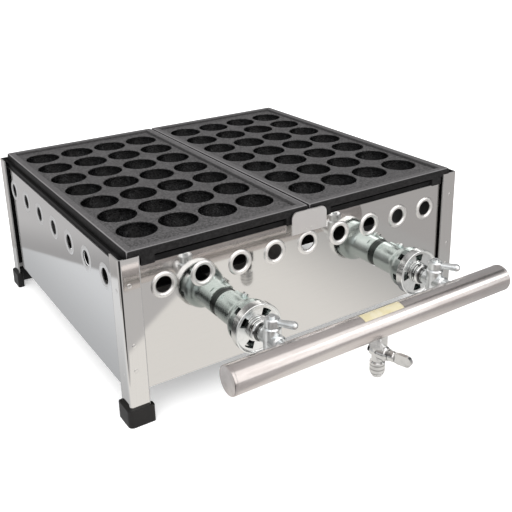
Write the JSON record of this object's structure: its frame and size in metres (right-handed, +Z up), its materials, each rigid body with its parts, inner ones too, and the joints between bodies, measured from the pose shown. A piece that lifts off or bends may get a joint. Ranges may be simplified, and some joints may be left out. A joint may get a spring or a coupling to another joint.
{
  "type": "gas takoyaki cooker",
  "caption": "Countertop gas takoyaki cooker: cast-iron plates of round cups lift off a stainless hearth whose burners are fed and regulated from a front manifold pipe.",
  "frame": {"origin": "on the counter plane, under the middle of the cooker's overall box, gas train and boots included", "axes": "+X to the right along the front, +Y from the gas pipe at the front to the back, +Z up"},
  "size_m": [0.423, 0.5252, 0.1765],
  "materials": {
    "cast_iron": "seasoned, matt on the face and glossy in the cups",
    "stainless": "bright, nearly mirror",
    "black_steel": "satin heat-proof black",
    "boot_rubber": "satin",
    "burner_iron": "rough cast",
    "plated_casting": "zinc plated, fine cast grain",
    "plated_steel": "zinc plated",
    "bright_disc": "turned and plated",
    "chrome": "polished",
    "polished_pipe": "polished along its length",
    "black_nut": "blackened"
  },
  "bodies": {
    "hearth": {"centre_bar": "stainless", "centre_tab": "stainless", "leg_fl": "stainless", "boot_fl": "boot_rubber", "post_fl": "black_steel", "leg_fr": "stainless", "boot_fr": "boot_rubber", "post_fr": "black_steel", "leg_bl": "stainless", "boot_bl": "boot_rubber", "post_bl": "black_steel", "leg_br": "stainless", "boot_br": "boot_rubber", "post_br": "black_steel", "panel_front": "stainless", "rail_front": "black_steel", "panel_back": "stainless", "rail_back": "black_steel", "panel_left": "stainless", "rail_left": "black_steel", "panel_right": "stainless", "rail_right": "black_steel", "support_front": "black_steel", "support_back": "black_steel", "burner_left": "burner_iron", "mixer_left": "plated_casting", "screw_left": "plated_steel", "nozzle_left": "plated_steel", "cock_left": "chrome", "burner_right": "burner_iron", "mixer_right": "plated_casting", "screw_right": "plated_steel", "nozzle_right": "plated_steel", "cock_right": "chrome", "manifold_pipe": "polished_pipe", "pipe_cap_left": "polished_pipe", "pipe_cap_right": "polished_pipe", "inlet_nut": "chrome", "inlet_cock": "chrome", "hose_coupler": "chrome"},
    "plate_left": {"plate_left": "cast_iron"},
    "plate_right": {"plate_right": "cast_iron"},
    "damper_left": {"damper_left": "bright_disc"},
    "damper_right": {"damper_right": "bright_disc"},
    "lever_left": {"lever_left": "chrome"},
    "lever_right": {"lever_right": "chrome"},
    "inlet_key": {"inlet_key": "chrome", "inlet_tail": "black_nut"}
  },
  "joints": [
    {"name": "lift_plate_left", "type": "slide", "parent": "hearth", "child": "plate_left", "axis": [0, 0, 1], "range_m": [0, 0.15]},
    {"name": "lift_plate_right", "type": "slide", "parent": "hearth", "child": "plate_right", "axis": [0, 0, 1], "range_m": [0, 0.15]},
    {"name": "turn_damper_left", "type": "hinge", "parent": "hearth", "child": "damper_left", "pos_m": [-0.09997, -0.17001, 0.0958], "axis": [0, 1, 0], "range_deg": [-45, 45]},
    {"name": "turn_damper_right", "type": "hinge", "parent": "hearth", "child": "damper_right", "pos_m": [0.09997, -0.17001, 0.0958], "axis": [0, 1, 0], "range_deg": [-45, 45]},
    {"name": "turn_lever_left", "type": "hinge", "parent": "hearth", "child": "lever_left", "pos_m": [-0.09997, -0.19481, 0.0958], "axis": [0, 0, 1], "range_deg": [-33, 57]},
    {"name": "turn_lever_right", "type": "hinge", "parent": "hearth", "child": "lever_right", "pos_m": [0.09997, -0.19481, 0.0958], "axis": [0, 0, 1], "range_deg": [-33, 57]},
    {"name": "turn_inlet_key", "type": "hinge", "parent": "hearth", "child": "inlet_key", "pos_m": [-0.0045, -0.22811, 0.0669], "axis": [0.309, -0.9511, 0], "range_deg": [0, 90]}
  ]
}
